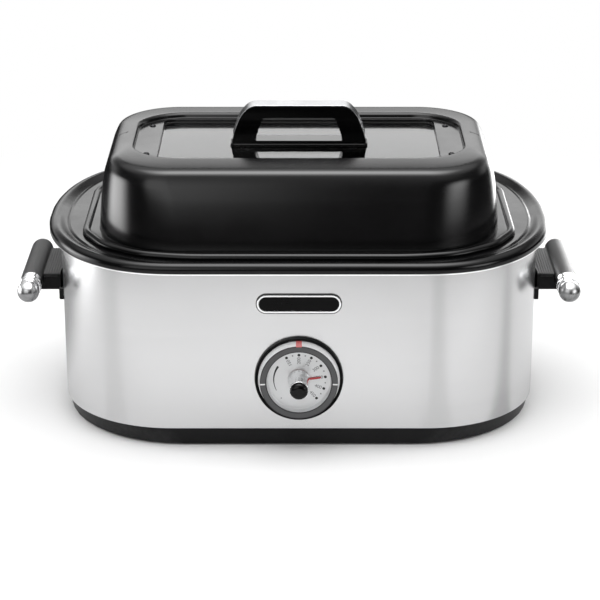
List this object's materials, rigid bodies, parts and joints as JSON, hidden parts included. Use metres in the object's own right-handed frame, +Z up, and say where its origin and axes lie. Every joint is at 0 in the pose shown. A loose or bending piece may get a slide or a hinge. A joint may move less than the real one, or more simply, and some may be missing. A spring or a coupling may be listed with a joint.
{
  "type": "electric roaster oven",
  "caption": "Oval electric roaster oven with steel sleeve, black rolled rim, lift-out pan and rack, domed lid with window and loop handle, dial and side grips.",
  "frame": {"origin": "centre of the whole object's box at the underside of the feet", "axes": "+X to the right seen from the dial side, +Y to the back, +Z up"},
  "size_m": [0.5956, 0.382, 0.326],
  "materials": {
    "base_plastic": "satin moulded black",
    "foot_rubber": "matte",
    "plain_label": "matte",
    "zinc_steel": "bright plated",
    "bright_sheet": "mill",
    "brushed_sleeve": "satin",
    "black_enamel": "gloss enamel",
    "fibre_blanket": "fibrous",
    "heater_strip": "matte",
    "white_ceramic": "matte",
    "brass": "satin",
    "wire_sleeve": "braided",
    "red_lens": "gloss",
    "gloss_black": "gloss",
    "chrome": "polished",
    "dial_grey": "satin",
    "dial_silver": "fine brushed",
    "grip_plastic": "satin",
    "red_paint": "satin",
    "plated_wire": "polished",
    "lid_black": "gloss",
    "silicone": "matte",
    "window_glass": "clear",
    "dark_frame": "satin",
    "dark_steel": "dark plated"
  },
  "bodies": {
    "housing": {"base_tray": "base_plastic", "rubber_feet": "foot_rubber", "rating_plate": "plain_label", "tie_rods": "zinc_steel", "tie_spacers": "zinc_steel", "tie_nuts": "zinc_steel", "heat_shield": "bright_sheet", "outer_shell": "brushed_sleeve", "shell_seam": "brushed_sleeve", "seam_rivets": "zinc_steel", "rim_frame": "black_enamel", "liner_well": "bright_sheet", "insulation_blanket": "fibre_blanket", "heater_band_low": "heater_strip", "heater_band_high": "heater_strip", "heater_terminals": "white_ceramic", "thermal_fuse": "zinc_steel", "terminal_block": "white_ceramic", "terminal_screws": "brass", "wiring": "wire_sleeve", "cord_gland": "base_plastic", "thermostat_body": "white_ceramic", "thermostat_bracket": "zinc_steel", "thermostat_screws": "zinc_steel", "indicator_lamp": "white_ceramic", "indicator_lens": "red_lens", "dial_base": "gloss_black", "dial_bezel": "chrome", "dial_annulus": "dial_grey", "dial_plate": "dial_silver", "badge_frame": "chrome", "badge_plate": "gloss_black", "handle_left": "grip_plastic", "handle_right": "grip_plastic", "handle_rods": "zinc_steel", "handle_sleeves": "chrome", "handle_balls": "chrome", "handle_screws": "zinc_steel"},
    "control": {"knob_shaft": "zinc_steel", "knob_stalk": "chrome", "knob_cap": "gloss_black", "knob_pointer": "red_paint"},
    "pan": {"insert_pan": "black_enamel"},
    "rack": {"roasting_rack": "plated_wire"},
    "lid": {"lid_shell": "lid_black", "lid_gasket": "silicone", "lid_glass": "window_glass", "lid_frame": "dark_frame", "lid_screws": "dark_steel", "lid_handle": "gloss_black", "lid_handle_base": "gloss_black", "lid_handle_trim": "chrome", "lid_handle_screws": "zinc_steel", "lid_handle_washers": "silicone"}
  },
  "joints": [
    {"name": "control_turn", "type": "hinge", "parent": "housing", "child": "control", "pos_m": [0, -0.156, 0.077], "axis": [0, 1, 0], "range_deg": [-221.4, 55.3]},
    {"name": "pan_lift", "type": "slide", "parent": "housing", "child": "pan", "axis": [0, 0, 1], "range_m": [0, 0.2]},
    {"name": "rack_lift", "type": "slide", "parent": "pan", "child": "rack", "axis": [0, 0, 1], "range_m": [0, 0.2]},
    {"name": "lid_lift", "type": "slide", "parent": "rack", "child": "lid", "axis": [0, 0, 1], "range_m": [0, 0.15]}
  ]
}
